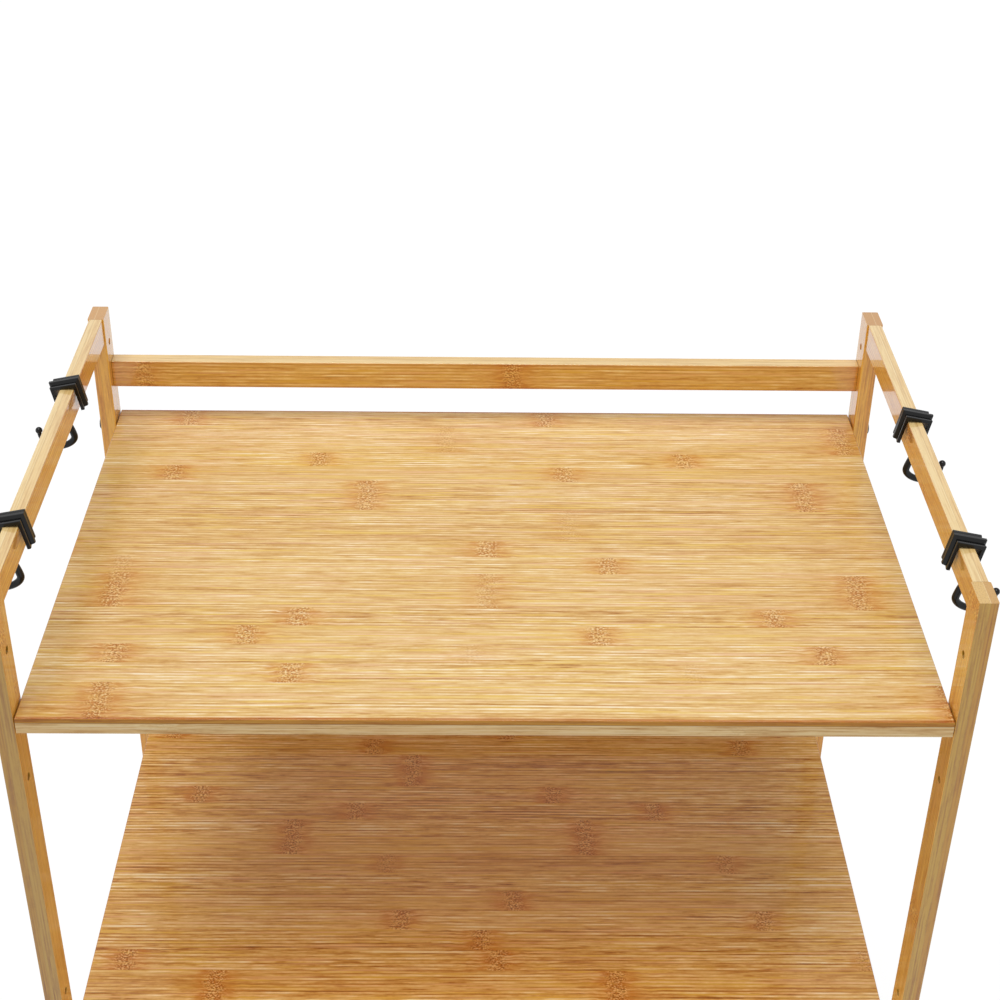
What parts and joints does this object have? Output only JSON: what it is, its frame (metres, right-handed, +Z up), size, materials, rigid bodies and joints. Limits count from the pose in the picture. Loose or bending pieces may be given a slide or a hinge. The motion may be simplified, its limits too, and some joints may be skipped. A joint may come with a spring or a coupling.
{
  "type": "rolling utility cart",
  "caption": "Open rolling cart of flat bamboo shelves between slim posts, with side handle rails, back guard rails, clip-on sliding hooks and swivel casters.",
  "frame": {"origin": "middle of the footprint, on the floor under the wheels", "axes": "+X to the cart's right along the shelves, +Y to the back, +Z up"},
  "size_m": [0.6438, 0.38, 0.7646],
  "materials": {
    "bamboo": "clear satin lacquer on laminated bamboo strips",
    "dowel_wood": "plain beech",
    "black_plastic": "moulded, semi-gloss",
    "black_steel": "black oxide",
    "zinc_steel": "bright zinc plate",
    "brass": "turned",
    "hub_plastic": "moulded nylon",
    "pedal_plastic": "moulded, fine texture",
    "tyre_rubber": "soft grey-black tread"
  },
  "bodies": {
    "frame": {"back_rail_bolts": "black_steel", "back_rail_bottom": "bamboo", "back_rail_inserts": "brass", "back_rail_middle": "bamboo", "back_rail_top": "bamboo", "bottom_side_rail_left": "bamboo", "bottom_side_rail_right": "bamboo", "caster_kingpins": "zinc_steel", "caster_plate_back_left": "zinc_steel", "caster_plate_back_right": "zinc_steel", "caster_plate_front_left": "zinc_steel", "caster_plate_front_right": "zinc_steel", "caster_screws": "zinc_steel", "post_back_left": "bamboo", "post_back_right": "bamboo", "post_front_left": "bamboo", "post_front_right": "bamboo", "rail_dowels": "dowel_wood", "shelf_bolts_left": "black_steel", "shelf_bolts_right": "black_steel", "shelf_bottom": "bamboo", "shelf_inserts": "brass", "shelf_middle": "bamboo", "shelf_top": "bamboo", "top_side_rail_left": "bamboo", "top_side_rail_right": "bamboo"},
    "caster_front_left": {"caster_fork_front_left": "zinc_steel", "caster_balls_front_left": "zinc_steel", "caster_axle_front_left": "zinc_steel", "brake_pin_front_left": "zinc_steel"},
    "wheel_front_left": {"wheel_hub_front_left": "hub_plastic", "wheel_bush_front_left": "zinc_steel", "wheel_tyre_front_left": "tyre_rubber"},
    "pedal_front_left": {"brake_pedal_front_left": "pedal_plastic"},
    "caster_front_right": {"caster_fork_front_right": "zinc_steel", "caster_balls_front_right": "zinc_steel", "caster_axle_front_right": "zinc_steel", "brake_pin_front_right": "zinc_steel"},
    "wheel_front_right": {"wheel_hub_front_right": "hub_plastic", "wheel_bush_front_right": "zinc_steel", "wheel_tyre_front_right": "tyre_rubber"},
    "pedal_front_right": {"brake_pedal_front_right": "pedal_plastic"},
    "caster_back_left": {"caster_fork_back_left": "zinc_steel", "caster_balls_back_left": "zinc_steel", "caster_axle_back_left": "zinc_steel"},
    "wheel_back_left": {"wheel_hub_back_left": "hub_plastic", "wheel_bush_back_left": "zinc_steel", "wheel_tyre_back_left": "tyre_rubber"},
    "caster_back_right": {"caster_fork_back_right": "zinc_steel", "caster_balls_back_right": "zinc_steel", "caster_axle_back_right": "zinc_steel"},
    "wheel_back_right": {"wheel_hub_back_right": "hub_plastic", "wheel_bush_back_right": "zinc_steel", "wheel_tyre_back_right": "tyre_rubber"},
    "hook_front_right": {"hook_front_right": "black_plastic"},
    "hook_back_right": {"hook_back_right": "black_plastic"},
    "hook_front_left": {"hook_front_left": "black_plastic"},
    "hook_back_left": {"hook_back_left": "black_plastic"}
  },
  "joints": [
    {"name": "swivel_front_left", "type": "hinge", "parent": "frame", "child": "caster_front_left", "pos_m": [-0.243, -0.148, 0.0578], "axis": [0, 0, 1], "continuous": true},
    {"name": "wheel_spin_front_left", "type": "hinge", "parent": "caster_front_left", "child": "wheel_front_left", "pos_m": [-0.263, -0.148, 0.025], "axis": [0, 1, 0], "continuous": true},
    {"name": "brake_front_left", "type": "hinge", "parent": "caster_front_left", "child": "pedal_front_left", "pos_m": [-0.271, -0.148, 0.0535], "axis": [0, -1, 0], "range_deg": [0, 8.5]},
    {"name": "swivel_front_right", "type": "hinge", "parent": "frame", "child": "caster_front_right", "pos_m": [0.243, -0.148, 0.0578], "axis": [0, 0, 1], "continuous": true},
    {"name": "wheel_spin_front_right", "type": "hinge", "parent": "caster_front_right", "child": "wheel_front_right", "pos_m": [0.263, -0.148, 0.025], "axis": [0, 1, 0], "continuous": true},
    {"name": "brake_front_right", "type": "hinge", "parent": "caster_front_right", "child": "pedal_front_right", "pos_m": [0.271, -0.148, 0.0535], "axis": [0, 1, 0], "range_deg": [0, 8.5]},
    {"name": "swivel_back_left", "type": "hinge", "parent": "frame", "child": "caster_back_left", "pos_m": [-0.243, 0.148, 0.0578], "axis": [0, 0, 1], "continuous": true},
    {"name": "wheel_spin_back_left", "type": "hinge", "parent": "caster_back_left", "child": "wheel_back_left", "pos_m": [-0.263, 0.148, 0.025], "axis": [0, 1, 0], "continuous": true},
    {"name": "swivel_back_right", "type": "hinge", "parent": "frame", "child": "caster_back_right", "pos_m": [0.243, 0.148, 0.0578], "axis": [0, 0, 1], "continuous": true},
    {"name": "wheel_spin_back_right", "type": "hinge", "parent": "caster_back_right", "child": "wheel_back_right", "pos_m": [0.263, 0.148, 0.025], "axis": [0, 1, 0], "continuous": true},
    {"name": "slide_hook_front_right", "type": "slide", "parent": "frame", "child": "hook_front_right", "axis": [0, 1, 0], "range_m": [-0.0343, 0.0693]},
    {"name": "slide_hook_back_right", "type": "slide", "parent": "frame", "child": "hook_back_right", "axis": [0, 1, 0], "range_m": [-0.0693, 0.1323]},
    {"name": "slide_hook_front_left", "type": "slide", "parent": "frame", "child": "hook_front_left", "axis": [0, 1, 0], "range_m": [-0.0518, 0.0795]},
    {"name": "slide_hook_back_left", "type": "slide", "parent": "frame", "child": "hook_back_left", "axis": [0, 1, 0], "range_m": [-0.0795, 0.0943]}
  ]
}
